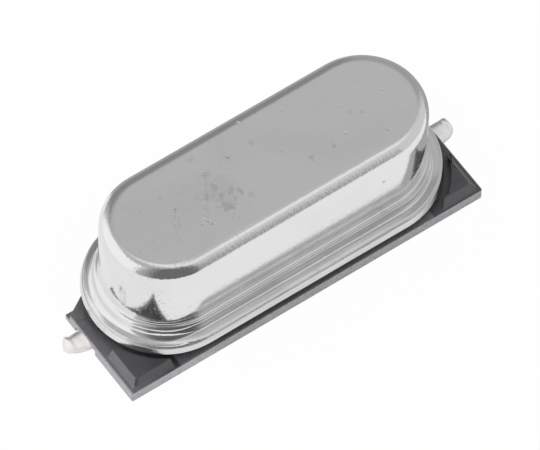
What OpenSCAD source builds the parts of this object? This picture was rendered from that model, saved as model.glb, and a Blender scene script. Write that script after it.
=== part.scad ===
// Low-profile quartz crystal unit for surface mounting.
//
// A drawn metal can is welded to the flange of a metal header. Two pins pass
// through glass seals in the header, bend outwards under a moulded insulator
// and end as flattened tongues that are soldered to a board. Inside the can a
// coated quartz strip hangs between two spring supports.
//
// All sizes are in millimetres. The origin is the centre of the insulator's
// underside, +X runs along the length and +Z points up.

/* [Insulator] */
// Length of the moulded insulator
base_l = 11.6; // [11.4:0.1:12.4]
// Width of the moulded insulator
base_w = 4.5; // [4.3:0.05:4.9]
// Thickness of the insulator's plate
base_t = 0.4; // [0.35:0.05:0.6]
// Height of the raised seat that carries the header, above the plate
seat_h = 0.4; // [0.3:0.05:0.6]
// Height of the two corner pads, above the plate
pad_h = 0.25; // [0.15:0.05:0.3]
// Length of each clipped rear corner, along X
clip_l = 2.5; // [1.5:0.1:2.6]
// Width of each clipped rear corner, along Y
clip_w = 1.5; // [0.9:0.1:1.5]

/* [Header] */
// Length of the header's flange
flange_l = 11.05; // [10.8:0.05:11.2]
// Width of the header's flange
flange_w = 4.57; // [4.4:0.01:4.7]
// Thickness of the header's flange
flange_t = 0.17; // [0.12:0.01:0.25]
// How far the header sits towards +X on the insulator
seat_shift = 0.045; // [0:0.005:0.1]
// Distance between the two pins
pin_pitch = 4.88; // [4.7:0.02:5.1]

/* [Can] */
// Width of the can across its upright walls
can_w = 3.6; // [3.5:0.05:3.7]
// Height of the can, with its flange
can_h = 2.98; // [2.6:0.02:3.3]
// Thickness of the can's sheet
can_t = 0.15; // [0.12:0.01:0.18]
// Outside radius of the can's top edge
top_r = 0.4; // [0.3:0.05:0.5]

/* [Leads] */
// Diameter of the round pins
pin_d = 0.43; // [0.4:0.01:0.46]
// Width of the flattened tongue
tongue_w = 0.6; // [0.5:0.02:0.7]
// Thickness of the flattened tongue
tongue_t = 0.2; // [0.16:0.02:0.22]
// Overall length, from one tongue's tip to the other's
overall_l = 12.86; // [12.7:0.02:13.3]

/* [Crystal] */
// Length of the quartz strip
blank_l = 8; // [7.6:0.1:8.2]
// Width of the quartz strip
blank_w = 1.8; // [1.5:0.1:2.2]
// Thickness of the quartz strip
blank_t = 0.21; // [0.16:0.01:0.34]

/* [Hidden] */
$fn = 96;

// Length of the straight sides, shared by the header and the can
span = flange_l - flange_w;
seat_z = base_t + seat_h;
weld_z = seat_z + flange_t;

// Insulator
corner_r = 0.12;
pad_inset = 0.1;
pad_setback = 0.05;
pad_bevel = 0.19;
pad_run = 1.3;
pad_clearance = 0.2;
ledge_w = 0.2;
notch_w = 0.94;
seat_w = can_w;
well_l = 0.75;
well_h = 0.6;

// Header
flange_edge_r = 0.06;
plug_clearance = 0.05;
plug_w = can_w - 2 * (can_t + plug_clearance);
plug_h = 0.45;
plug_edge_r = 0.08;
seal_d = 1.5;

// Can: a flange, one step and the upright wall
rim_inset = 0.09;
rim_t = 0.13;
rim_edge_r = 0.04;
rim_d = flange_w / 2 - rim_inset;
wall_d = can_w / 2;
step_out = 0.13;
step_d = wall_d + step_out;
step_h = 0.387;
step_r = 0.04;
root_r = 0.09;
neck_r = 0.025;

// Leads
pin_x = pin_pitch / 2;
pin_stand = 0.35;
pin_top = seat_z + plug_h + pin_stand;
bend_r = 0.35;
bend_run = 0.25;
tip_r = 0.2;
tip_x = overall_l / 2;

// Supports and crystal
support_t = 0.1;
support_w = 1.2;
support_foot_in = 0.35;
support_foot_out = 0.55;
support_rise = 0.5;
support_end_gap = 0.16;
support_lip_h = 0.3;
shelf_z = pin_top + support_t + support_rise;
shelf_in = 0.75;
film_t = 0.02;
film_l = 4;
film_w = 1.3;
film_tab_w = 0.6;
blank_z = shelf_z + film_t;
dot_r = 0.5;

// Overlap that lets one solid cut cleanly through another
cut = 0.1;

// ---------------------------------------------------------------- helpers

// Turns a profile (distance from the middle, height) into an oblong body:
// half a turn around each end, and a straight run between the two.
module oblong() {
    for (end = [-1, 1])
        translate([end * span / 2, 0, 0])
            rotate([0, 0, end * -90])
                rotate_extrude(angle = 180)
                    children();
    rotate([90, 0, 90])
        linear_extrude(height = span, center = true)
            union() {
                children();
                mirror([1, 0, 0])
                    children();
            }
}

// A slab from the middle out to d and up to h, with its outer edges rounded.
// top and bottom say which of the two outer edges are round.
module round_slab(d, h, r, top = true, bottom = false) {
    low = bottom ? r : 0;
    high = top ? h - r : h;
    square([d - r, h]);
    translate([0, low])
        square([d, high - low]);
    if (top)
        translate([d - r, h - r])
            circle(r);
    if (bottom)
        translate([d - r, r])
            circle(r);
}

// Material that fills an inside corner at [d, z] to a hollow radius r.
module root_fillet(d, z, r) {
    translate([d, z])
        difference() {
            square(r);
            translate([r, r])
                circle(r);
        }
}

// Places its children in the header's frame, on the seat.
module on_seat() {
    translate([seat_shift, 0, 0])
        children();
}

// Draws its children for the +X side, or mirrored for the -X side.
module on_side(side) {
    if (side > 0)
        children();
    else
        mirror([1, 0, 0])
            children();
}

// ---------------------------------------------------------------- insulator

// Plan of the plate: square front corners with a small radius, and rear
// corners clipped off. grow moves the clip's start towards the rear.
module plate_plan(grow = 0) {
    half_l = base_l / 2;
    half_w = base_w / 2;
    end_y = half_w - clip_w;
    difference() {
        translate([-half_l, -half_w])
            square([base_l, base_w]);
        for (end = [-1, 1]) {
            polygon([
                [end * (half_l + cut), end_y + grow],
                [end * (half_l - grow * clip_l / clip_w), end_y + grow],
                [end * (half_l - clip_l), half_w],
                [end * (half_l - clip_l), half_w + cut],
                [end * (half_l + cut), half_w + cut]
            ]);
            translate([end * half_l, -half_w])
                mirror([end > 0 ? 1 : 0, 0, 0])
                    difference() {
                        translate([-cut, -cut])
                            square(corner_r + cut);
                        translate([corner_r, corner_r])
                            circle(corner_r);
                    }
        }
    }
}

// The two front pads: bevelled on their outer sides, and cut back to an arc
// that runs around the header's flange.
module corner_pads() {
    foot_x = base_l / 2 - pad_inset;
    foot_y = base_w / 2 - pad_setback;
    far_y = foot_y - pad_run;
    difference() {
        intersection() {
            rotate([90, 0, 0])
                linear_extrude(height = base_w)
                    polygon([
                        [-foot_x, base_t - cut],
                        [-foot_x, base_t],
                        [-foot_x + pad_bevel, base_t + pad_h],
                        [foot_x - pad_bevel, base_t + pad_h],
                        [foot_x, base_t],
                        [foot_x, base_t - cut]
                    ]);
            rotate([90, 0, 90])
                linear_extrude(height = base_l, center = true)
                    polygon([
                        [-foot_y, base_t - cut],
                        [-foot_y, base_t],
                        [-foot_y + pad_bevel, base_t + pad_h],
                        [-far_y, base_t + pad_h],
                        [-far_y, base_t - cut]
                    ]);
        }
        on_seat() {
            for (end = [-1, 1])
                translate([end * span / 2, 0, base_t - 2 * cut])
                    cylinder(r = flange_w / 2 + pad_clearance, h = pad_h + 3 * cut);
            translate([-span / 2, -base_w, base_t - 2 * cut])
                cube([span, 2 * base_w, pad_h + 3 * cut]);
        }
    }
}

// Everything that the pins and tongues need: a round hole up to the header,
// a well around the bend and an open groove out to the end.
module lead_channel(side) {
    x = pin_x + side * seat_shift;
    on_side(side) {
        translate([x, 0, -cut])
            cylinder(d = notch_w, h = seat_z + 2 * cut);
        translate([x, -notch_w / 2, -cut])
            cube([well_l, notch_w, well_h + cut]);
        translate([x, -notch_w / 2, -cut])
            cube([base_l, notch_w, tongue_t + cut]);
    }
}

module insulator() {
    color("dimgray")
        difference() {
            union() {
                linear_extrude(height = base_t)
                    plate_plan();
                linear_extrude(height = tongue_t)
                    plate_plan(ledge_w);
                corner_pads();
                on_seat()
                    oblong()
                        square([seat_w / 2, seat_z]);
            }
            for (side = [-1, 1])
                lead_channel(side);
        }
}

// ---------------------------------------------------------------- header

module header_profile() {
    round_slab(flange_w / 2, flange_t, flange_edge_r, bottom = true);
    round_slab(plug_w / 2, plug_h, plug_edge_r);
}

module header() {
    color("lightgray")
        on_seat()
            translate([0, 0, seat_z])
                difference() {
                    oblong()
                        header_profile();
                    for (side = [-1, 1])
                        translate([side * pin_x, 0, -cut])
                            cylinder(d = seal_d, h = plug_h + 2 * cut);
                }
}

module glass_seal(side) {
    color("darkslategray")
        on_seat()
            translate([side * pin_x, 0, seat_z])
                difference() {
                    cylinder(d = seal_d, h = plug_h);
                    translate([0, 0, -cut])
                        cylinder(d = pin_d, h = plug_h + 2 * cut);
                }
}

// ---------------------------------------------------------------- leads

// The tongue's plan, with the corners of its tip rounded.
module tongue_plan(start, end) {
    translate([start, -tongue_w / 2])
        square([end - tip_r - start, tongue_w]);
    translate([start, -tongue_w / 2 + tip_r])
        square([end - start, tongue_w - 2 * tip_r]);
    for (y = [-1, 1])
        translate([end - tip_r, y * (tongue_w / 2 - tip_r)])
            circle(tip_r);
}

// The tongue's cross-section: rolled flat, with round sides.
module tongue_section() {
    r = tongue_t / 2;
    translate([-tongue_w / 2 + r, 0])
        square([tongue_w - tongue_t, tongue_t]);
    for (y = [-1, 1])
        translate([y * (tongue_w / 2 - r), r])
            circle(r);
}

module lead(side) {
    x = pin_x + side * seat_shift;
    bend_z = bend_r + pin_d / 2;
    run_x = x + bend_r;
    color("gainsboro")
        on_side(side) {
            translate([x, 0, bend_z])
                cylinder(d = pin_d, h = pin_top - bend_z);
            translate([run_x, 0, bend_z])
                rotate([90, 0, 0])
                    rotate([0, 0, 180])
                        rotate_extrude(angle = 90)
                            translate([bend_r, 0])
                                circle(d = pin_d);
            translate([run_x, 0, pin_d / 2])
                rotate([0, 90, 0])
                    cylinder(d = pin_d, h = bend_run);
            intersection() {
                linear_extrude(height = tongue_t)
                    tongue_plan(run_x, tip_x);
                translate([run_x, 0, 0])
                    rotate([90, 0, 90])
                        linear_extrude(height = tip_x - run_x)
                            tongue_section();
            }
        }
}

// ---------------------------------------------------------------- can

module can_outside() {
    round_slab(rim_d, rim_t, rim_edge_r, bottom = true);
    round_slab(step_d, step_h, step_r);
    round_slab(wall_d, can_h, top_r);
    root_fillet(step_d, rim_t, root_r);
    root_fillet(wall_d, step_h, neck_r);
}

module can_inside() {
    translate([0, -cut])
        square([step_d - can_t, step_h - can_t + cut]);
    round_slab(wall_d - can_t, can_h - can_t, top_r - can_t);
}

module can() {
    color("silver")
        on_seat()
            translate([0, 0, weld_z])
                oblong()
                    difference() {
                        can_outside();
                        can_inside();
                    }
}

// ---------------------------------------------------------------- inside

// One bent strip: a foot on the pin, a riser, a shelf and a short lip.
module support_profile() {
    foot_in = pin_x - support_foot_in;
    foot_out = pin_x + support_foot_out;
    lip_x = blank_l / 2 + support_end_gap;
    polygon([
        [foot_in, pin_top],
        [foot_out, pin_top],
        [foot_out, shelf_z - support_t],
        [lip_x + support_t, shelf_z - support_t],
        [lip_x + support_t, shelf_z + support_lip_h],
        [lip_x, shelf_z + support_lip_h],
        [lip_x, shelf_z],
        [foot_out - support_t, shelf_z],
        [foot_out - support_t, pin_top + support_t],
        [foot_in, pin_top + support_t]
    ]);
}

module support_shape(side) {
    on_seat()
        on_side(side)
            rotate([90, 0, 0])
                linear_extrude(height = support_w, center = true)
                    support_profile();
}

module support(side) {
    color("silver")
        support_shape(side);
}

module blank_shape() {
    on_seat()
        translate([-blank_l / 2, -blank_w / 2, blank_z])
            cube([blank_l, blank_w, blank_t]);
}

module quartz_blank() {
    color("whitesmoke")
        blank_shape();
}

// A film's plan: a pad in the middle and a tab out to one end of the strip.
module film_shape(side, z) {
    on_seat()
        translate([0, 0, z])
            on_side(side)
                linear_extrude(height = film_t)
                    union() {
                        translate([-film_l / 2, -film_w / 2])
                            square([film_l, film_w]);
                        translate([0, -film_tab_w / 2])
                            square([blank_l / 2, film_tab_w]);
                    }
}

module electrode_top() {
    color("lightgrey")
        film_shape(-1, blank_z + blank_t);
}

module electrode_bottom() {
    color("lightgrey")
        film_shape(1, shelf_z);
}

// A dot of conductive adhesive that joins the strip's end to its shelf.
module adhesive(side) {
    color("gray")
        difference() {
            on_seat()
                on_side(side)
                    intersection() {
                        translate([blank_l / 2, 0, blank_z])
                            sphere(r = dot_r);
                        translate([blank_l / 2 - shelf_in, -dot_r, shelf_z])
                            cube([shelf_in + support_end_gap, 2 * dot_r, dot_r]);
                    }
            blank_shape();
            film_shape(-1, blank_z + blank_t);
            film_shape(1, shelf_z);
        }
}

// ---------------------------------------------------------------- nodes

insulator();
header();
glass_seal(-1);  // glass_seal_left
glass_seal(1);  // glass_seal_right
lead(-1);  // lead_left
lead(1);  // lead_right
can();
support(-1);  // support_left
support(1);  // support_right
quartz_blank();
electrode_top();
electrode_bottom();
adhesive(-1);  // adhesive_left
adhesive(1);  // adhesive_right
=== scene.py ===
import logging
import math
from collections.abc import Callable, Sequence
from dataclasses import dataclass
from enum import Enum

import bmesh
import bpy
import numpy as np
from mathutils import Matrix, Vector
from mathutils.geometry import delaunay_2d_cdt


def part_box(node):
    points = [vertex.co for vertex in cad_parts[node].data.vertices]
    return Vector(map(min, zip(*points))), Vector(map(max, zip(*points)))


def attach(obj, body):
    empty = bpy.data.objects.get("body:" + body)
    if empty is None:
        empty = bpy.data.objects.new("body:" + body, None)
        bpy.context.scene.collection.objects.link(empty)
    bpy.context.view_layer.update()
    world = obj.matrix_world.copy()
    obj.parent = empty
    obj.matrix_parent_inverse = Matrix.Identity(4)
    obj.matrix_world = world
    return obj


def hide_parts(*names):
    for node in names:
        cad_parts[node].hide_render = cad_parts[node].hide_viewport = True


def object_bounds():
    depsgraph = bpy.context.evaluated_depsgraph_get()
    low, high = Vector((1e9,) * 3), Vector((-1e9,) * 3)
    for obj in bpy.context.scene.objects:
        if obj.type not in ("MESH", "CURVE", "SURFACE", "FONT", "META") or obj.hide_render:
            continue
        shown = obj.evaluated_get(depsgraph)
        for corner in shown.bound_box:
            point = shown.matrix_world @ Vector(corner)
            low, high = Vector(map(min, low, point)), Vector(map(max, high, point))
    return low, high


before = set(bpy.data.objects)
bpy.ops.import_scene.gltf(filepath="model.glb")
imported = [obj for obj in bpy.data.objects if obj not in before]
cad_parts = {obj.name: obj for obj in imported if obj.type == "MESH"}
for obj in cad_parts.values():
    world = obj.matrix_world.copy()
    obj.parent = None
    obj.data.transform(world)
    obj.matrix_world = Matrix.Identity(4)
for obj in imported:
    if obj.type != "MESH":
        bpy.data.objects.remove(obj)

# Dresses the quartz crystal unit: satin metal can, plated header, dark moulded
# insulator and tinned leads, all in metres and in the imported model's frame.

LOG = logging.getLogger("crystal_unit")
MM = 0.001
QUARTER = math.pi / 2
CAD_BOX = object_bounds()
Pair = tuple[float, float]
Triple = tuple[float, float, float]
Links = dict[str | int, object]
WHITE = (1.0, 1.0, 1.0, 1.0)


class Slot(Enum):
    """The record's material slots of the pieces that are made here."""

    CAN = "can_metal"
    HEADER = "header_metal"
    LEAD = "tinned_metal"
    PLASTIC = "plastic"


class Side(Enum):
    """The two ends of the unit."""

    LEFT = -1
    RIGHT = 1


# ---- outlines


def rounded_line(corners: Sequence[Triple], closed: bool = False, steps: int = 7,
                 flank: float = 0.5) -> np.ndarray:
    """A line through corner points, each rounded to its own radius.

    At a corner of radius r and half angle h the round starts r / tan(h) away on both sides, and its
    centre lies r / sin(h) away on the bisector. The round itself turns one spoke into the other by
    spherical interpolation. One more point on each side, flank * r further out, keeps the flats flat.

    Args:
        corners: (x, y, radius) of each corner, in order.
        closed: joins the last corner to the first.
        steps: number of spans in each round.
        flank: distance of the extra points from each round, as a share of its radius.

    Returns:
        Array of shape (points, 2).
    """
    flank_limit = 0.9
    places = np.array([corner[:2] for corner in corners], float)
    parts: list[np.ndarray] = []
    for i, (*_, radius) in enumerate(corners):
        here = places[i]
        if radius <= 0 or (not closed and i in (0, len(corners) - 1)):
            parts.append(here[None])
            continue
        before = places[i - 1] - here
        after = places[(i + 1) % len(corners)] - here
        reach = (np.linalg.norm(before), np.linalg.norm(after))
        before, after = before / reach[0], after / reach[1]
        half = math.acos(float(np.clip(before @ after, -1, 1))) / 2
        run = radius / math.tan(half)
        middle = here + (before + after) / np.linalg.norm(before + after) * radius / math.sin(half)
        spoke_a, spoke_b = here + before * run - middle, here + after * run - middle
        turn = math.pi - 2 * half
        share = np.linspace(0, 1, steps + 1)[:, None]
        swung = spoke_a * np.sin((1 - share) * turn) + spoke_b * np.sin(share * turn)
        first = here + before * min(run + flank * radius, flank_limit * reach[0])
        last = here + after * min(run + flank * radius, flank_limit * reach[1])
        parts += [first[None], middle + swung / math.sin(turn), last[None]]
    return np.concatenate(parts)


def circle(x: float, radius: float, angle: np.ndarray, side: int = 1) -> np.ndarray:
    """Points (n, 2) around (x, 0) at the given angles, mirrored along X where side is -1."""
    return np.column_stack([x + side * radius * np.cos(angle), radius * np.sin(angle)])


def inset(loop: np.ndarray, distance: float) -> np.ndarray:
    """A closed loop moved inwards.

    Each point moves along its mitre, the sum of its two edge normals over one plus their dot
    product, so that every edge stays parallel to itself.

    Args:
        loop: (points, 2), counter-clockwise.
        distance: how far each edge moves inwards.

    Returns:
        Array of the same shape.
    """
    edge = np.roll(loop, -1, axis=0) - loop
    edge /= np.linalg.norm(edge, axis=1, keepdims=True)
    out = np.stack([edge[:, 1], -edge[:, 0]], axis=1)
    before = np.roll(out, 1, axis=0)
    mitre = (before + out) / (1 + np.sum(before * out, axis=1, keepdims=True))
    return loop - mitre * distance


def at_height(loop: np.ndarray, height: float) -> np.ndarray:
    """A level loop as points in space, (points, 3)."""
    return np.column_stack([loop, np.full(len(loop), height)])


def stacked(loop: np.ndarray, *levels: Pair) -> np.ndarray:
    """Rings (levels, points, 3) of a counter-clockwise loop, each at its own height and inset."""
    return np.stack([at_height(inset(loop, pull), height) for height, pull in levels])


def round_over(top: float, radius: float, steps: int = 5) -> list[Pair]:
    """Levels that round a wall's top edge: a quarter turn, then a short flat.

    Args:
        top: height of the top face.
        radius: radius of the edge.
        steps: number of spans in the quarter turn.

    Returns:
        (height, inset) pairs from the bottom up.
    """
    flat_end = 1.8
    angle = np.linspace(0, QUARTER, steps + 1)
    quarter = [(top - radius + radius * math.sin(a), radius - radius * math.cos(a)) for a in angle]
    return [*quarter, (top, flat_end * radius)]


def round_under(bottom: float, radius: float, steps: int = 4) -> list[Pair]:
    """Levels that round a wall's bottom edge, the mirror image of round_over."""
    return [(2 * bottom - height, pull) for height, pull in reversed(round_over(bottom, radius, steps))]


def ease(share: np.ndarray) -> np.ndarray:
    """A smooth step: 3 t^2 - 2 t^3 of the share, held between 0 and 1."""
    held = np.clip(share, 0, 1)
    return held * held * (3 - 2 * held)


def bell(distance: np.ndarray, width: float) -> np.ndarray:
    """A Gaussian bump: exp(-(distance / width)^2)."""
    return np.exp(-(distance / width) ** 2)


def inside(points: np.ndarray, loop: np.ndarray) -> np.ndarray:
    """Which points lie inside a closed loop: a ray to +X crosses its border an odd number of times.

    Args:
        points: (n, 2).
        loop: (m, 2).

    Returns:
        Array of n booleans.
    """
    x, y = points[:, :1], points[:, 1:]
    x0, y0 = loop.T
    x1, y1 = np.roll(x0, -1), np.roll(y0, -1)
    rise = np.where(y1 == y0, 1.0, y1 - y0)
    crossing = x0 + (y - y0) * (x1 - x0) / rise
    return (((y0 > y) != (y1 > y)) & (x < crossing)).sum(axis=1) % 2 == 1


# ---- meshes


class Sketch:
    """Collects surface patches and joins them into one closed mesh."""

    def __init__(self) -> None:
        """Starts with nothing in it."""
        self.points: list[np.ndarray] = []
        self.faces: list[list[int]] = []
        self.count = 0

    def add(self, points: np.ndarray, faces: list[list[int]]) -> None:
        """Adds a patch.

        Args:
            points: (n, 3).
            faces: the points of each face, counted from the patch's first.
        """
        self.faces += [[self.count + i for i in face] for face in faces]
        self.points.append(points)
        self.count += len(points)

    def grid(self, surface: np.ndarray) -> None:
        """Adds a grid as quads, with its last column joined to its first.

        Args:
            surface: (rows, columns, 3).
        """
        rows, columns = surface.shape[:2]
        index = np.arange(rows * columns).reshape(rows, columns)
        index = np.concatenate([index, index[:, :1]], axis=1)
        quads = np.stack([index[:-1, :-1], index[:-1, 1:], index[1:, 1:], index[1:, :-1]], axis=-1)
        self.add(surface.reshape(-1, 3), quads.reshape(-1, 4).tolist())

    def flat(self, height: float, outline: np.ndarray, *holes: np.ndarray) -> None:
        """Fills the level region inside one loop and outside the others, as a constrained triangulation.

        Args:
            height: level of the region.
            outline: (points, 2) of its border.
            holes: (points, 2) of each opening in it.
        """
        tolerance = 1e-7
        corners: list[Vector] = []
        rims: list[list[int]] = []
        for loop in (outline, *holes):
            rims.append(list(range(len(corners), len(corners) + len(loop))))
            corners += [Vector((x / MM, y / MM)) for x, y in loop]
        found, _, faces, *_ = delaunay_2d_cdt(corners, [], rims, 0, tolerance, True)
        spots = np.array([(p.x * MM, p.y * MM, height) for p in found])
        middles = np.array([spots[list(face), :2].mean(axis=0) for face in faces])
        keep = inside(middles, outline)
        for hole in holes:
            keep &= ~inside(middles, hole)
        self.add(spots, [list(face) for face, kept in zip(faces, keep) if kept])

    def build(self, name: str, sharp: float = 40.0, weld: float = 2e-4 * MM) -> bpy.types.Object:
        """Makes the object: points that meet are merged and all faces turned outwards.

        Args:
            name: the piece's name.
            sharp: edges steeper than this many degrees stay sharp.
            weld: distance under which points are one.

        Returns:
            The object, at the origin.
        """
        mesh = bpy.data.meshes.new(name)
        mesh.from_pydata(np.concatenate(self.points).tolist(), [], self.faces)
        work = bmesh.new()
        work.from_mesh(mesh)
        bmesh.ops.remove_doubles(work, verts=work.verts, dist=weld)
        bmesh.ops.dissolve_degenerate(work, edges=work.edges, dist=weld / 4)
        bmesh.ops.recalc_face_normals(work, faces=work.faces)
        work.to_mesh(mesh)
        work.free()
        mesh.polygons.foreach_set("use_smooth", np.ones(len(mesh.polygons), bool))
        mesh.set_sharp_from_angle(angle=math.radians(sharp))
        piece = bpy.data.objects.new(name, mesh)
        bpy.context.scene.collection.objects.link(piece)
        return piece


def finish_piece(piece: bpy.types.Object, look: bpy.types.Material, slot: Slot, *nodes: str) -> None:
    """Dresses a new piece, sets it on the unit's one body and hides the CAD nodes that it stands for.

    Args:
        piece: the new object.
        look: its material.
        slot: the record's slot for that finish; not used.
        nodes: the CAD nodes that it replaces.
    """
    piece.data.materials.append(look)
    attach(piece, "root")
    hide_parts(*nodes)
    LOG.info("%s: %d faces, replaces %s", piece.name, len(piece.data.polygons), ", ".join(nodes))


# ---- shader graphs


class Value:
    """One output of a shader node; each operator and each method adds the node that works it out."""

    def __init__(self, graph: "Graph", socket: bpy.types.NodeSocket) -> None:
        """Wraps an output socket of a graph."""
        self.graph, self.socket = graph, socket

    def __add__(self, other: object) -> "Value":
        """The sum."""
        return self.graph.math("ADD", self, other)

    def __sub__(self, other: object) -> "Value":
        """The difference."""
        return self.graph.math("SUBTRACT", self, other)

    def __rsub__(self, other: object) -> "Value":
        """The difference from a plain number."""
        return self.graph.math("SUBTRACT", other, self)

    def __mul__(self, other: object) -> "Value":
        """The product."""
        return self.graph.math("MULTIPLY", self, other)

    def __truediv__(self, other: object) -> "Value":
        """The quotient."""
        return self.graph.math("DIVIDE", self, other)

    def __lt__(self, other: object) -> "Value":
        """1 where it is the lower one, else 0."""
        return self.graph.math("LESS_THAN", self, other)

    def __abs__(self) -> "Value":
        """Its size without its sign."""
        return self.graph.math("ABSOLUTE", self)

    def most(self, other: object) -> "Value":
        """The greater of the two."""
        return self.graph.math("MAXIMUM", self, other)

    def clamped(self) -> "Value":
        """Itself, held between 0 and 1."""
        return self.graph.math("ADD", self, 0.0, clamp=True)

    def span(self, low: object, high: object, start: float = 0.0, end: float = 1.0,
             smooth: bool = True) -> "Value":
        """Maps low..high onto start..end, smoothly or straight, and holds it there."""
        ends = {"Value": self, "From Min": low, "From Max": high, "To Min": start, "To Max": end}
        return self.graph.out("ShaderNodeMapRange", ends,
                              interpolation_type="SMOOTHSTEP" if smooth else "LINEAR")

    def fall(self, low: object, high: object) -> "Value":
        """Goes smoothly from 1 at low down to 0 at high."""
        return self.span(low, high, 1.0, 0.0)

    def past(self, edge: float, soft: float) -> "Value":
        """1 where it is past an edge, softened by so much on both sides."""
        return self.span(edge - soft, edge + soft)

    def before(self, edge: float, soft: float) -> "Value":
        """1 where it is before an edge, softened by so much on both sides."""
        return self.fall(edge - soft, edge + soft)


class Graph:
    """A node tree in which nodes are added and linked by name."""

    def __init__(self, tree: bpy.types.NodeTree) -> None:
        """Works on the given node tree."""
        self.tree = tree

    def node(self, kind: str, links: Links | None = None, **settings: object) -> bpy.types.Node:
        """Adds a node.

        Args:
            kind: the node's type name.
            links: socket name or index to a value to link from, or a plain value.
            settings: properties of the node itself.

        Returns:
            The new node.
        """
        made = self.tree.nodes.new(kind)
        for key, value in settings.items():
            setattr(made, key, value)
        self.feed(made, links or {})
        return made

    def feed(self, node: bpy.types.Node, links: Links) -> None:
        """Links or sets inputs of a node.

        Args:
            node: the node.
            links: socket name or index to a value to link from, or a plain value.
        """
        for key, value in links.items():
            if isinstance(value, Value):
                self.tree.links.new(value.socket, node.inputs[key])
            else:
                node.inputs[key].default_value = value

    def out(self, kind: str, links: Links | None = None, output: str | int = 0, **settings: object) -> Value:
        """Adds a node and returns one of its outputs, the first by default."""
        return Value(self, self.node(kind, links, **settings).outputs[output])

    def math(self, operation: str, a: object, b: object = 0.5, clamp: bool = False) -> Value:
        """One arithmetic step on one or two values."""
        return self.out("ShaderNodeMath", {0: a, 1: b}, operation=operation, use_clamp=clamp)

    def vector(self, operation: str, a: object, b: object = (0.0, 0.0, 0.0)) -> Value:
        """One vector step: a length, a distance or a dot product is a number, all else a vector."""
        output = "Value" if operation in ("LENGTH", "DISTANCE", "DOT_PRODUCT") else "Vector"
        return self.out("ShaderNodeVectorMath", {0: a, 1: b}, output, operation=operation)

    def parts(self, place: Value) -> tuple[Value, Value, Value]:
        """A place's X, Y and Z."""
        made = self.node("ShaderNodeSeparateXYZ", {0: place})
        return tuple(Value(self, socket) for socket in made.outputs)

    def point(self, x: object, y: object, z: object = 0.0) -> Value:
        """A place from its X, Y and Z."""
        return self.out("ShaderNodeCombineXYZ", {0: x, 1: y, 2: z})

    def blend(self, factor: Value, a: object, b: object) -> Value:
        """Mixes two colours, each a value or plain red, green and blue."""
        a, b = ((*color, 1.0) if isinstance(color, tuple) else color for color in (a, b))
        return self.out("ShaderNodeMix", {"Factor": factor, "A": a, "B": b}, "Result", data_type="RGBA")

    def mix(self, factor: Value, a: object, b: object) -> Value:
        """Mixes two numbers."""
        return self.out("ShaderNodeMix", {"Factor": factor, "A": a, "B": b}, "Result", data_type="FLOAT")

    def noise(self, place: Value, scale: object, detail: float = 2.0, roughness: float = 0.5,
              distortion: float = 0.0) -> Value:
        """Fractal noise at a place, about 0.3 to 0.7."""
        links = {"Vector": place, "Scale": scale, "Detail": detail, "Roughness": roughness,
                 "Distortion": distortion}
        return self.out("ShaderNodeTexNoise", links, "Fac")


class SharedEffect:
    """A formula that stands once, in a node group of its own, and that several finishes use.

    The group takes a place and a few named numbers or points, and gives one mask of 0 to 1.
    """

    def __init__(self, formula: Callable[..., Value], inputs: dict[str, object]) -> None:
        """Keeps the formula, and the default values of its inputs, until its first use."""
        self.formula = formula
        self.inputs = {"place": (0.0, 0.0, 0.0), **inputs}

    def build(self) -> bpy.types.NodeTree:
        """Makes the group: its named sockets, with the formula between them.

        Returns:
            The group.
        """
        tree = bpy.data.node_groups.new(self.formula.__name__, "ShaderNodeTree")
        for label, value in self.inputs.items():
            kind = "NodeSocketVector" if isinstance(value, tuple) else "NodeSocketFloat"
            tree.interface.new_socket(label, in_out="INPUT", socket_type=kind).default_value = value
        tree.interface.new_socket("mask", in_out="OUTPUT", socket_type="NodeSocketFloat")
        graph = Graph(tree)
        entry = graph.node("NodeGroupInput")
        mask = self.formula(graph, **{label: Value(graph, entry.outputs[label]) for label in self.inputs})
        graph.node("NodeGroupOutput", {"mask": mask})
        return tree

    def __call__(self, graph: Graph, place: Value, **values: object) -> Value:
        """Places the group in a material's graph.

        Args:
            graph: the material's graph.
            place: the coordinates that it works on.
            values: its other inputs, by name, as values or plain.

        Returns:
            Its mask.
        """
        tree = bpy.data.node_groups.get(self.formula.__name__) or self.build()
        return graph.out("ShaderNodeGroup", {"place": place, **values}, node_tree=tree)


def shared(**inputs: object) -> Callable[[Callable[..., Value]], SharedEffect]:
    """A decorator that makes a formula a shared effect, with the default values of its inputs."""
    return lambda formula: SharedEffect(formula, inputs)


# ---- shared effects


@shared(pitch=9000.0)
def fine_grain(graph: Graph, place: Value, pitch: Value) -> Value:
    """Fine even grain: three octaves of noise."""
    return graph.noise(place, pitch, 3.0, 0.6).span(0.3, 0.7)


def distance_out(graph: Graph, place: Value, middle: Value, half_span: Value) -> Value:
    """How far a place lies from an oblong's middle line, of that middle and half span along X."""
    x, y, _ = graph.parts(place)
    return graph.vector("LENGTH", graph.point((abs(x - middle) - half_span).most(0.0), y))


@shared(middle=0.0, half_span=0.003, across=13000.0, along=700.0)
def ring_lines(graph: Graph, place: Value, middle: Value, half_span: Value, across: Value,
               along: Value) -> Value:
    """Fine lines that run around an oblong, left by drawing.

    The noise's place is fine across the profile, where the distance from the middle line minus
    the height grows steadily, and coarse along it.

    Args:
        graph: the group's graph.
        place: the coordinates.
        middle: the oblong's middle along X.
        half_span: half the length of its middle line.
        across: how fine the lines are across the profile.
        along: how fine they are along it.

    Returns:
        The mask.
    """
    x, y, z = graph.parts(place)
    track = (distance_out(graph, place, middle, half_span) - z) * across
    return graph.noise(graph.point(x * along, y * along, track), 1.0, 3.0, 0.65, 0.15).span(0.33, 0.67)


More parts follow.
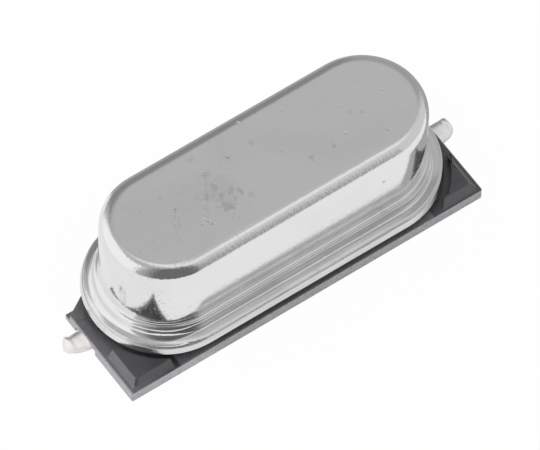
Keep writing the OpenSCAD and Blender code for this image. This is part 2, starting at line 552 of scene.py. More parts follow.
@shared(middle=0.0, half_span=0.003, distance=0.002, width=0.00001)
def ring_band(graph: Graph, place: Value, middle: Value, half_span: Value, distance: Value,
              width: Value) -> Value:
    """A narrow line around an oblong, at one distance from its middle line."""
    off = abs(distance_out(graph, place, middle, half_span) - distance)
    return (off / width).fall(1.0, 2.0)


@shared(pitch=2600.0, share=0.04, size=0.22, edge_pitch=9000.0)
def specks(graph: Graph, place: Value, pitch: Value, share: Value, size: Value, edge_pitch: Value) -> Value:
    """Sparse small nicks: cells whose own random value is low keep a dot around their centre.

    Args:
        graph: the group's graph.
        place: the coordinates.
        pitch: how fine the cells are.
        share: which share of the cells have a nick.
        size: a nick's radius, as a share of its cell.
        edge_pitch: how fine the noise is that makes the sizes uneven.

    Returns:
        The mask.
    """
    cells = graph.node("ShaderNodeTexVoronoi", {"Vector": place, "Scale": pitch})
    rare = graph.out("ShaderNodeSeparateColor", {"Color": Value(graph, cells.outputs["Color"])})
    uneven = graph.noise(place, edge_pitch) + 0.5
    return (rare < share) * (Value(graph, cells.outputs["Distance"]) < size * uneven)


@shared(pitch=350.0)
def clouds(graph: Graph, place: Value, pitch: Value) -> Value:
    """Broad handling marks: distorted low noise."""
    return graph.noise(place, pitch, 4.0, 0.55, 0.8).span(0.38, 0.66)


@shared(centre=(0.0, 0.0, 0.0), radius=0.0001, edge_pitch=6500.0)
def soft_spot(graph: Graph, place: Value, centre: Value, radius: Value, edge_pitch: Value) -> Value:
    """One soft spot with an uneven edge: the distance from its centre, bent by noise, fades it out."""
    bend = graph.noise(place, edge_pitch, 4.0, 0.7).span(0.3, 0.7, 0.45, 1.9)
    return (graph.vector("DISTANCE", place, centre) * bend / radius).fall(0.25, 1.0)


@shared(start=(0.0, 0.0, 0.0), end=(1.0, 0.0, 0.0), width=0.00003, gap_pitch=6000.0)
def scratch_line(graph: Graph, place: Value, start: Value, end: Value, width: Value,
                 gap_pitch: Value) -> Value:
    """One scratch: the distance from the stretch between its ends, broken up along it by noise.

    Args:
        graph: the group's graph.
        place: the coordinates.
        start: where the scratch starts.
        end: where it ends.
        width: the distance at which it has faded out.
        gap_pitch: how fine the noise is that breaks it up.

    Returns:
        The mask.
    """
    line = graph.vector("SUBTRACT", end, start)
    gone = graph.vector("SUBTRACT", place, start)
    share = (graph.vector("DOT_PRODUCT", gone, line) / graph.vector("DOT_PRODUCT", line, line)).clamped()
    foot = graph.out("ShaderNodeVectorMath", {0: line, "Scale": share}, operation="SCALE")
    core = (graph.vector("DISTANCE", gone, foot) / width).fall(0.2, 1.0)
    return core * graph.noise(place, gap_pitch).span(0.42, 0.56)


@shared(pitch=6000.0, cluster_pitch=420.0)
def flecks(graph: Graph, place: Value, pitch: Value, cluster_pitch: Value) -> Value:
    """Irregular flecks in loose clusters: the peaks of twisted noise where a wide noise is high."""
    peaks = graph.noise(place, pitch, 3.0, 0.65, 1.2).span(0.61, 0.69)
    return peaks * graph.noise(place, cluster_pitch, 1.0).span(0.42, 0.58)


# ---- finishes


class Look:
    """A material under way: its graph, its Principled shader and its object coordinates."""

    def __init__(self, name: str, **principled: float) -> None:
        """Starts a material.

        Args:
            name: the material's name.
            principled: plain values of the shader's sockets, with underscores for spaces.
        """
        self.material = bpy.data.materials.new(name)
        self.material.use_nodes = True
        self.material.node_tree.nodes.clear()
        self.graph = Graph(self.material.node_tree)
        self.shader = self.graph.node("ShaderNodeBsdfPrincipled")
        self.feed(**principled)
        self.graph.node("ShaderNodeOutputMaterial", {"Surface": Value(self.graph, self.shader.outputs[0])})
        self.place = self.graph.out("ShaderNodeTexCoord", output="Object")

    def feed(self, **values: object) -> None:
        """Links or sets the shader's sockets, with underscores for spaces."""
        self.graph.feed(self.shader, {key.replace("_", " "): value for key, value in values.items()})

    def bump(self, height: Value, distance: float = 1.0) -> None:
        """Raises the surface by a height, times a distance."""
        links = {"Height": height, "Distance": distance, "Strength": 1.0}
        self.feed(Normal=self.graph.out("ShaderNodeBump", links))


@dataclass(frozen=True)
class Spot:
    """A mark at one point: a dark smudge where its tone is positive, a small dent where its depth is.

    Its drop is how far it lies below the marked face.
    """

    x: float
    y: float
    radius: float
    tone: float = 0.0
    depth: float = 0.0
    drop: float = 0.0

    def mask(self, graph: Graph, place: Value, level: float) -> Value:
        """The mark's mask, with the marked face at that level."""
        return soft_spot(graph, place, centre=(self.x, self.y, level - self.drop), radius=self.radius)


@dataclass(frozen=True)
class Scratch:
    """A straight scratch between two points, with its tone and its depth."""

    start: Pair
    end: Pair
    width: float
    tone: float
    depth: float

    def mask(self, graph: Graph, place: Value, level: float) -> Value:
        """The mark's mask, on the level face."""
        start, end = (*self.start, level), (*self.end, level)
        return scratch_line(graph, place, start=start, end=end, width=self.width)


@dataclass(frozen=True)
class RingLines:
    """Lines from drawing that run around an oblong below one height, with a painted shade and more roughness
    on the front.

    In narrow highlight bands, at certain distances from the middle line, the front keeps its bright colour
    and smoothness, as painted highlights on the step's rounded edges.
    """

    middle_x: float
    half_span: float
    below: float
    above: float
    height: float
    tint: float
    front_painted_shade: float
    front_rough: float
    front_y: float = -1.35 * MM
    front_edge: float = 0.40 * MM
    front_fade: float = 0.75 * MM
    highlight_bands: tuple[float, ...] = ()
    highlight_band_half: float = 0.017 * MM
    elsewhere: float = 0.35
    fade: float = 0.012 * MM

    def masks(self, graph: Graph, place: Value) -> tuple[Value, Value]:
        """The drawn lines, and the front's painted shade, both faded out above the lines' height.

        Args:
            graph: the material's graph.
            place: the object coordinates.

        Returns:
            Both masks.
        """
        _, y, z = graph.parts(place)
        oblong = {"middle": self.middle_x, "half_span": self.half_span}
        front = y.fall(self.front_y - self.front_edge, self.front_y)
        lines = ring_lines(graph, place, **oblong) * front.span(0.0, 1.0, self.elsewhere, 1.0, smooth=False)
        lines = lines * z.before(self.below, self.fade)
        front = front * z.span(self.above - self.fade, self.above)
        front = front * z.fall(self.below, self.below + self.front_fade)
        # The highlight bands leave the painted shade and the extra roughness out, so the step's rounded edges
        # stay bright as painted highlights.
        for distance in self.highlight_bands:
            band = ring_band(graph, place, distance=distance, width=self.highlight_band_half, **oblong)
            front = front * (1.0 - band)
        return lines, front


@dataclass(frozen=True)
class PlatedMetal:
    """Satin plated metal with fine grain, soft clouds, nicks, drawn lines and marks of its own.

    The two colours are mixed by the clouds, nicks, lines, marks and a painted shade along the front, and the
    height is grain plus lines minus the depths of the nicks and marks.
    """

    name: str
    bright: Triple
    dull: Triple
    roughness: float
    rough_spread: float = 0.06
    metallic: float = 1.0
    whitened: Pair | None = None
    cloud_share: float = 0.35
    grain_height: float = 0.001 * MM
    grain_pitch: float = 9000.0
    nick_share: float = 0.03
    nick_tone: float = 0.5
    nick_depth: float = 0.004 * MM
    edge_grain: float = 0.0
    edge_span: Pair = (0.0, 0.0)
    edge_fades: Pair = (0.04 * MM, 0.01 * MM)
    fleck_tone: float = 0.0
    fleck_depth: float = 0.0
    rings: RingLines | None = None
    marks: tuple[Spot | Scratch, ...] = ()
    marked_level: float = 0.0

    def make(self) -> bpy.types.Material:
        """Builds the finish.

        Returns:
            The material.
        """
        look = Look(self.name, Metallic=self.metallic)
        graph, place = look.graph, look.place
        _, y, z = graph.parts(place)
        if self.whitened:
            look.feed(Metallic=y.span(*self.whitened, self.metallic, 1.0))
        cloudy = clouds(graph, place)
        nicks = specks(graph, place, share=self.nick_share)
        grain = fine_grain(graph, place, pitch=self.grain_pitch)
        worn_and_shaded = cloudy * self.cloud_share + nicks * self.nick_tone
        height = grain * self.grain_height - nicks * self.nick_depth
        rough = cloudy.span(0.0, 1.0, self.roughness - self.rough_spread / 2,
                            self.roughness + self.rough_spread / 2, smooth=False)
        if self.edge_grain:
            (low, high), (low_fade, high_fade) = self.edge_span, self.edge_fades
            band = z.span(low, low + low_fade) * z.fall(high - high_fade, high)
            height = height + grain * band * self.edge_grain
        if self.rings:
            lines, front = self.rings.masks(graph, place)
            # Painted shade: the front of the skirt is darkened towards the dark tone, and made rougher.
            worn_and_shaded = worn_and_shaded + front * self.rings.front_painted_shade + lines * self.rings.tint
            height = height + lines * self.rings.height
            rough = rough + front * self.rings.front_rough
        if self.fleck_tone:
            fleck = flecks(graph, place)
            worn_and_shaded, height = worn_and_shaded + fleck * self.fleck_tone, height - fleck * self.fleck_depth
        for mark in self.marks:
            mask = mark.mask(graph, place, self.marked_level)
            worn_and_shaded, height = worn_and_shaded + mask * mark.tone, height - mask * mark.depth
        look.feed(Base_Color=graph.blend(worn_and_shaded.clamped(), self.bright, self.dull), Roughness=rough)
        look.bump(height)
        return look.material


@dataclass(frozen=True)
class MouldedPlastic:
    """Dark moulded plastic: fine texture, paler side walls and bevels, and painted light.

    Painted light lifts the left end's plate and the front strip, which lies in the flange's shade; a painted
    highlight lies on the plate's rounded end edges. A speckle breaks up the pale and painted parts.
    """

    name: str = "dark_moulding"
    dark: Triple = (0.037, 0.035, 0.039)
    pale: Triple = (0.058, 0.055, 0.060)
    # Pale colour of the side walls and bevels, also the colour of the painted light and highlight.
    pale_colour_and_painted_light: Triple = (0.50, 0.49, 0.515)
    ior: float = 1.75
    roughness: Pair = (0.34, 0.48)
    cloud_pitch: float = 600.0
    grain_pitch: float = 5200.0
    grain_height: float = 0.004 * MM
    speckle_pitch: float = 14000.0
    speckle: Pair = (0.72, 1.12)
    # Painted light on the left end's plate and on the front strip in the flange's shade.
    left_end_painted_light: float = 0.21
    left_end_painted_light_x: Pair = (-6.0 * MM, -4.3 * MM)
    left_end_painted_light_height: float = 0.47 * MM
    front_strip_painted_light: float = 0.19
    front_strip_painted_light_y: Pair = (-1.8 * MM, -1.7 * MM)
    strip_half: float = 4.2 * MM

    def make(self) -> bpy.types.Material:
        """Builds the finish.

        Returns:
            The material.
        """
        look = Look(self.name, IOR=self.ior)
        graph, place = look.graph, look.place
        x, y, z = graph.parts(place)
        cloudy = clouds(graph, place, pitch=self.cloud_pitch)
        # The stored share: pale walls and bevels, and a painted highlight on the end edges.
        matt = graph.out("ShaderNodeAttribute", output="Fac", attribute_name="matt")
        # Painted light: the left end's plate and the front strip in the flange's shade are lifted towards the
        # pale colour.
        matt = matt.most((z < self.left_end_painted_light_height) * x.span(*self.left_end_painted_light_x, self.left_end_painted_light, 0.0))
        matt = matt.most((abs(x) < self.strip_half) * y.span(*self.front_strip_painted_light_y, self.front_strip_painted_light, 0.0))
        speckle = fine_grain(graph, place, pitch=self.speckle_pitch)
        patchy = speckle.span(0.0, 1.0, *self.speckle, smooth=False)
        body = graph.blend(cloudy, self.dark, self.pale)
        look.feed(Base_Color=graph.blend((matt * patchy).clamped(), body, self.pale_colour_and_painted_light),
                  Roughness=cloudy.span(0.0, 1.0, *self.roughness))
        look.bump(fine_grain(graph, place, pitch=self.grain_pitch), self.grain_height)
        return look.material


@dataclass(frozen=True)
class PlainFinish:
    """A hidden piece's finish: one base colour, varied a little, over a fine grain."""

    name: str
    color: Triple
    roughness: float
    metallic: float = 0.0
    transmission: float = 0.0
    variation: float = 0.25
    rough_shares: Pair = (0.9, 1.15)
    cloud_pitch: float = 900.0
    grain_pitch: float = 7000.0
    grain_height: float = 0.002 * MM

    def make(self) -> bpy.types.Material:
        """Builds the finish.

        Returns:
            The material.
        """
        look = Look(self.name, Metallic=self.metallic, Transmission_Weight=self.transmission)
        cloudy = clouds(look.graph, look.place, pitch=self.cloud_pitch)
        darker = tuple(part * (1 - self.variation) for part in self.color)
        ends = (self.roughness * share for share in self.rough_shares)
        look.feed(Base_Color=look.graph.blend(cloudy, self.color, darker),
                  Roughness=cloudy.span(0.0, 1.0, *ends))
        look.bump(fine_grain(look.graph, look.place, pitch=self.grain_pitch), self.grain_height)
        return look.material


# ---- the can and the header


@dataclass(frozen=True)
class OblongPath:
    """A path with two straight sides and two half-circle ends, around which a profile is carried.

    A point at distance d from the path's middle line lies at the nearer end centre plus d times the
    direction of its angle. The angle runs from -90 to 90 degrees around the right end and from 90 to
    270 around the left, and stays put along the sides, where the centre moves instead.
    """

    middle_x: float
    half_span: float
    end_steps: int = 72
    side_steps: int = 24
    turn_start: float = 0.05
    turn_span: float = 0.50

    def spokes(self) -> tuple[np.ndarray, np.ndarray]:
        """Steps around the path, counter-clockwise.

        Returns:
            Its centres and its outward directions, each (points, 2).
        """
        turn = np.linspace(-QUARTER, QUARTER, self.end_steps + 1)
        slide = np.linspace(1, -1, self.side_steps + 1)[1:-1]
        side = np.full(len(slide), QUARTER)
        angle = np.concatenate([turn, side, turn + math.pi, -side])
        along = np.concatenate([np.ones(len(turn)), slide, -np.ones(len(turn)), -slide])
        centre = np.column_stack([self.middle_x + along * self.half_span, np.zeros(len(along))])
        return centre, np.column_stack([np.cos(angle), np.sin(angle)])

    def loop(self, distance: float) -> np.ndarray:
        """The level outline at one distance from the middle line, (points, 2)."""
        centre, way = self.spokes()
        return centre + distance * way

    def carry(self, profile: np.ndarray, left_profile: np.ndarray) -> np.ndarray:
        """Carries a profile around the path, turning smoothly into another one at the left end.

        The left profile's share follows from how far the outward direction points to the left.

        Args:
            profile: (rows, 2) of distance from the middle line and height.
            left_profile: the profile at the left end, in as many rows.

        Returns:
            Grid of shape (rows, points, 3).
        """
        centre, way = self.spokes()
        share = ease((-way[:, 0] - self.turn_start) / self.turn_span)[None, :, None]
        mixed = profile[:, None, :] * (1 - share) + left_profile[:, None, :] * share
        level = centre[None] + mixed[:, :, :1] * way[None]
        return np.concatenate([level, mixed[:, :, 1:]], axis=2)


@dataclass(frozen=True)
class SkirtShape:
    """How crisply the can's lower part is drawn: its ledges' falls, its rounds, crease and flare."""

    rim_fall: float
    step_fall: float
    rim_root: float
    step_round: float
    neck_round: float
    crease: float
    flare: float = 0.0


@dataclass(frozen=True)
class Can:
    """The drawn can: upright wall, round top edge, one step above the flange.

    The skirt is crisp along the sides and softly drawn at the left end.
    """

    path: OblongPath
    bottom: float
    top: float
    rim: float
    wall: float = 1.80 * MM
    sheet: float = 0.15 * MM
    top_round: float = 0.40 * MM
    rim_thick: float = 0.13 * MM
    rim_round: float = 0.045 * MM
    inner_round: float = 0.03 * MM
    foot_round: float = 0.02 * MM
    crease_out: float = 2.165 * MM
    crease_run: float = 0.035 * MM
    step_out: float = 0.145 * MM
    step_top: float = 0.51 * MM
    crisp: SkirtShape = SkirtShape(
        rim_fall=math.radians(0.5), step_fall=math.radians(1.5), rim_root=0.05 * MM,
        step_round=0.06 * MM, neck_round=0.035 * MM, crease=0.009 * MM)
    soft: SkirtShape = SkirtShape(
        rim_fall=math.radians(15.0), step_fall=math.radians(22.0), rim_root=0.20 * MM,
        step_round=0.12 * MM, neck_round=0.05 * MM, crease=0.004 * MM, flare=0.02 * MM)

    def profile(self, skirt: SkirtShape) -> np.ndarray:
        """The sheet's cross-section as one line from the inside of the top around to its outside.

        Args:
            skirt: the shape of its lower part.

        Returns:
            Array of shape (rows, 2) of distance from the middle line and height.
        """
        step = self.wall + self.step_out
        rim = self.rim + skirt.flare
        shoulder = self.bottom + self.step_top
        fall = math.tan(skirt.rim_fall)
        rim_foot = self.bottom + self.rim_thick + (rim - step) * fall / 2
        crease_foot = rim_foot - (self.crease_out - step) * fall
        inner = step - self.sheet
        ceiling = self.top - self.sheet
        middle = 1e-9
        return rounded_line([
            (middle, ceiling, 0),
            (self.wall - self.sheet, ceiling, self.top_round - self.sheet),
            (self.wall - self.sheet, shoulder - self.sheet, self.inner_round),
            (inner, shoulder - self.sheet, self.inner_round),
            (inner, self.bottom, self.foot_round),
            (rim, self.bottom, self.rim_round),
            (rim, rim_foot - (rim - step) * fall - skirt.crease, self.rim_round),
            (self.crease_out + self.crease_run, crease_foot - self.crease_run * fall - skirt.crease, 0),
            (self.crease_out, crease_foot, 0),
            (step, rim_foot, skirt.rim_root),
            (step, shoulder - self.step_out * math.tan(skirt.step_fall), skirt.step_round),
            (self.wall, shoulder, skirt.neck_round),
            (self.wall, self.top, self.top_round),
            (middle, self.top, 0),
        ], steps=10, flank=0.15)

    def build(self) -> bpy.types.Object:
        """Makes the can's closed shell.

        Returns:
            The piece.
        """
        sketch = Sketch()
        sketch.grid(self.path.carry(self.profile(self.crisp), self.profile(self.soft)))
        return sketch.build("can_shell", sharp=60.0)


@dataclass(frozen=True)
class Header:
    """The header: a flange with a soft edge and a plug above it, with two round bores."""

    path: OblongPath
    bottom: float
    flange_top: float
    plug_top: float
    rim: float
    bore_x: float
    bore_radius: float
    plug: float = 1.60 * MM
    edge_round: float = 0.02 * MM
    edge_taper: float = 0.05 * MM
    lip_start: float = 1.90 * MM
    lip_drop: float = 0.05 * MM
    left_flare: float = 0.02 * MM
    plug_root: float = 0.03 * MM
    plug_round: float = 0.08 * MM
    bore_steps: int = 48

    def profile(self, rim: float) -> np.ndarray:
        """The cross-section from the underside around to the plug's top, with a low lip at the rim.

        Args:
            rim: distance of the rim from the middle line.

        Returns:
            Array of shape (rows, 2) of distance from the middle line and height.
        """
        return rounded_line([
            (self.rim / 2, self.bottom, 0),
            (self.lip_start, self.bottom, 0),
            (rim, self.bottom - self.lip_drop, self.edge_round),
            (rim - self.edge_taper, self.flange_top, self.edge_round),
            (self.plug, self.flange_top, self.plug_root),
            (self.plug, self.plug_top, self.plug_round),
            (self.rim / 2, self.plug_top, 0),
        ], steps=8)

    def build(self) -> bpy.types.Object:
        """Makes the header: outer surface, two bored flats and the bores' walls.

        Returns:
            The piece.
        """
        sketch = Sketch()
        sketch.grid(self.path.carry(self.profile(self.rim), self.profile(self.rim + self.left_flare)))
        angle = np.linspace(0, 2 * math.pi, self.bore_steps, endpoint=False)
        middle = self.path.middle_x
        bores = [circle(middle + side.value * self.bore_x, self.bore_radius, angle) for side in Side]
        for height in (self.bottom, self.plug_top):
            sketch.flat(height, self.path.loop(self.rim / 2), *bores)
        for bore in bores:
            sketch.grid(stacked(bore, (self.bottom, 0.0), (self.plug_top, 0.0)))
        return sketch.build("header_plate")


# ---- the insulator


@dataclass(frozen=True)
class Insulator:
    """The moulding: a plate with grooves underneath, clipped rear corners, two pads and a seat."""

    half_length: float
    half_width: float
    top: float
    seat: OblongPath
    pin_x: float
    plate: float = 0.40 * MM
    shelf: float = 0.20 * MM
    well_top: float = 0.60 * MM
    well_run: float = 0.75 * MM
    slot_half: float = 0.47 * MM
    clip_length: float = 2.5 * MM
    clip_width: float = 1.5 * MM
    clip_round: float = 0.08 * MM
    ledge: float = 0.20 * MM
    corner_round: float = 0.06 * MM
    edge_round: float = 0.03 * MM
    under_round: float = 0.015 * MM
    seat_half: float = 1.80 * MM
    pad_top: float = 0.65 * MM
    pad_inset: float = 0.10 * MM
    pad_setback: float = 0.05 * MM
    pad_bevel: float = 0.19 * MM
    pad_run: float = 1.3 * MM
    pad_arcs: Pair = (2.33 * MM, 2.485 * MM)
    pad_cut: float = 1.165 * MM
    pad_cut_lead: float = 0.06 * MM
    pad_cut_round: float = 0.02 * MM
    pad_corner_round: float = 0.09 * MM
    pad_top_inset: float = 0.02 * MM
    arc_steps: int = 16
    well_steps: int = 24
    # How pale each face is made: the bevels a little; the end edges' share is a painted highlight.
    front_bevel_pale: float = 0.07
    end_bevel_pale: float = 0.26
    end_edge_painted_highlight: float = 0.60

    def pin(self, side: Side) -> float:
        """Where one pin stands along X."""
        return self.seat.middle_x + side.value * self.pin_x

    def mouth(self, side: Side) -> float:
        """Where one well opens into its groove, along X."""
        return self.pin(side) + side.value * self.well_run

    def slot_end(self, side: Side) -> np.ndarray:
        """The round inner end of one groove, from its rear side round to its front, (points, 2)."""
        angle = np.linspace(QUARTER, 3 * QUARTER, self.well_steps + 1)
        return circle(self.pin(side), self.slot_half, angle, side.value)

    def plan(self, grooved: bool) -> np.ndarray:
        """The plate's outline, counter-clockwise from the front left.

        The right half is listed from front to rear, and the left half is its mirror image in reverse.

        Args:
            grooved: True for the lower half of the plate, which has the grooves and the small ledges.

        Returns:
            Array of shape (points, 2).
        """
        length, width, slot = self.half_length, self.half_width, self.slot_half
        clip_y = width - self.clip_width
        front = [(length, -width, self.corner_round), (length, -slot, 0.0)]
        rear = [(length, slot, 0.0), (length, clip_y, 0.0)]
        if grooved:
            ledge_y = clip_y + self.ledge
            rear[1:] = [(length, ledge_y, 0.0), (self.ledge_x(), ledge_y, 0.0)]
        rear.append((length - self.clip_length, width, self.clip_round))
        halves = []
        for side in (Side.RIGHT, Side.LEFT):
            groove = []
            if grooved:
                mouth = side.value * self.mouth(side)
                end = [(side.value * x, y, 0.0) for x, y in self.slot_end(side)[::-1]]
                groove = [(mouth, -slot, 0.0), *end, (mouth, slot, 0.0)]
            halves.append(front + groove + rear)
        return rounded_line(halves[0] + [(-x, y, r) for x, y, r in reversed(halves[1])], closed=True)

    def ledge_x(self) -> float:
        """How far out each small ledge meets the clipped edge."""
        return self.half_length - self.ledge * self.clip_length / self.clip_width

    def well(self, side: Side) -> np.ndarray:
        """The outline of one well, counter-clockwise, (points, 2)."""
        corners = [(self.mouth(side), end * self.slot_half) for end in (-1, 1)]
        return np.concatenate([corners, self.slot_end(side)])[::side.value]

    def hole(self, side: Side) -> np.ndarray:
        """The round hole above one well, counter-clockwise, (points, 2)."""
        angle = np.linspace(0, 2 * math.pi, 2 * self.well_steps, endpoint=False) + QUARTER
        return circle(self.pin(side), self.slot_half, angle, side.value)[::side.value]

    def pad(self, side: Side, bevel: float, trim: float) -> np.ndarray:
        """One pad's outline at one height, counter-clockwise.

        It runs along the end side and the front side, both moved in by bevel, and back along a short
        cut across and an arc around the seat's end centre, moved out by trim.

        Args:
            side: which pad.
            bevel: how far the two outer sides are moved in.
            trim: how far the arc is moved away from the seat.

        Returns:
            Array of shape (points, 2).
        """
        centre = self.seat.middle_x + side.value * self.seat.half_span
        side_x = side.value * (self.half_length - self.pad_inset - bevel)
        front_y = -(self.half_width - self.pad_setback - bevel)
        end_y = -(self.half_width - self.pad_setback - self.pad_run) - trim
        radius = self.pad_arcs[side is Side.RIGHT] + trim
        start = math.asin(-end_y / radius)
        stop = min(math.asin((-front_y - self.pad_cut_lead) / radius),
                   math.acos((self.pad_cut + trim) / radius))
        arc = circle(centre, radius, -np.linspace(start, stop, self.arc_steps + 1), side.value)
        outer = rounded_line([
            (*arc[-1], 0.0),
            (centre + side.value * (self.pad_cut + trim), front_y, self.pad_cut_round),
            (side_x, front_y, self.pad_corner_round),
            (side_x, end_y, 0.0),
        ])
        return np.concatenate([arc[:-1], outer])[::-side.value]

    def pad_rings(self, side: Side) -> np.ndarray:
        """One pad's walls: straight bevels and an upright arc, with a rounded top edge.

        Args:
            side: which pad.

        Returns:
            Grid of shape (levels, points, 3).
        """
        edge = self.edge_round
        bevel = self.pad_bevel * (1 - edge / (self.pad_top - self.plate))
        quarter = round_over(self.pad_top, edge, steps=4)[:-1]
        leans = np.linspace(0, 0.5, len(quarter))
        levels = [(self.plate, 0.0, 0.0)]
        levels += [(height, bevel + edge * lean, trim) for (height, trim), lean in zip(quarter, leans)]
        height, *pulls = levels[-1]
        levels.append((height, *(pull + self.pad_top_inset for pull in pulls)))
        return np.stack([at_height(self.pad(side, *pulls), height) for height, *pulls in levels])

    def build(self) -> bpy.types.Object:
        """Makes the moulding, level by level from the underside up.

        Returns:
            The piece.
        """
        sketch = Sketch()
        walls = stacked(self.plan(True), *round_under(0.0, self.under_round), (self.shelf, 0.0))
        sketch.grid(walls)
        sketch.flat(0.0, walls[0, :, :2])
        clip_y = self.half_width - self.clip_width
        slot = self.slot_half
        for side in Side:
            mouth, end, ledge_x = self.mouth(side), side.value * self.half_length, side.value * self.ledge_x()
            sketch.flat(self.shelf, np.array([[mouth, -slot], [end, -slot], [end, slot], [mouth, slot]]))
            ledge_y = clip_y + self.ledge
            sketch.flat(self.shelf, np.array([[end, clip_y], [end, ledge_y], [ledge_x, ledge_y]]))
            well, hole = self.well(side), self.hole(side)
            sketch.grid(stacked(well, (self.shelf, 0.0), (self.well_top, 0.0)))
            sketch.flat(self.well_top, well, hole)
            sketch.grid(stacked(hole, (self.well_top, 0.0), (self.top, 0.0)))
        rim = stacked(self.plan(False), (self.shelf, 0.0), *round_over(self.plate, self.edge_round))
        sketch.grid(rim)
        pads = [self.pad_rings(side) for side in Side]
        for rings in pads:
            sketch.grid(rings)
            sketch.flat(self.pad_top, rings[-1, :, :2])
        seat_loop = self.seat.loop(self.seat_half)
        sketch.flat(self.plate, rim[-1, :, :2], seat_loop, *(rings[0, :, :2] for rings in pads))
        seat = stacked(seat_loop, (self.plate, 0.0), *round_over(self.top, self.edge_round))
        sketch.grid(seat)
        sketch.flat(self.top, seat[-1, :, :2], *(self.hole(side) for side in Side))
        piece = sketch.build("insulator_moulding", sharp=30.0)
        self.mark_paleness(piece.data)
        return piece

    def mark_paleness(self, mesh: bpy.types.Mesh) -> None:
        """Stores how pale each face is made, painted highlight included.

        The plate's upright outer walls are fully so, its rounded end edges partly, as a painted highlight,
        and the pads'
        bevels a little: more at the ends than along the front.

        Args:
            mesh: the moulding's mesh.
        """
        count = len(mesh.polygons)
        centre, normal = np.empty(count * 3), np.empty(count * 3)
        mesh.polygons.foreach_get("center", centre)
        mesh.polygons.foreach_get("normal", normal)
        x, y, z = centre.reshape(-1, 3).T
        slant, lean, rise = normal.reshape(-1, 3).T
        near = 0.35 * self.edge_round
        upright, level, facing = 0.4, 0.8, 0.6
        slope = self.clip_width / self.clip_length
        clip_gap = self.half_width - y - slope * (np.abs(x) - self.half_length + self.clip_length)
        outer = (np.abs(x) > self.half_length - near) | (np.abs(y) > self.half_width - near)
        outer |= clip_gap < near * math.hypot(1, slope)
        end_edge = (np.abs(x) > self.half_length - self.edge_round) & (z > self.shelf) & (z < self.plate)
        bevel = (z > self.plate + near) & (z < self.pad_top - near) & (rise > upright) & (rise < level)
        share = np.zeros(count, np.float32)
        share[bevel & (lean < -facing)] = self.front_bevel_pale
        share[bevel & (np.abs(slant) > facing)] = self.end_bevel_pale
        # Painted highlight on the plate's rounded end edges.
        share[end_edge] = self.end_edge_painted_highlight
        share[(np.abs(rise) < upright) & outer & (z < self.plate)] = 1.0
        mesh.attributes.new("matt", "FLOAT", "FACE").data.foreach_set("value", share)


# ---- the leads


@dataclass(frozen=True)
class TipShape:
    """One tongue's plan: its far and near edges along Y, its round end, burr, bead and neck.

    Spreads and the taper are shares of the bead's, the neck's and the round end's own lengths.
    """

    far: float
    near_root: float
    near_tip: float
    middle: float
    reach: float
    burr: float
    burr_back: float
    burr_width: float = 0.06 * MM
    bead: float = 0.22
    bead_back: float = 0.13 * MM
    bead_spread: float = 0.8
    neck: float = 0.07
    neck_back: float = 0.27 * MM
    neck_spread: float = 0.25
    taper: float = 2.6


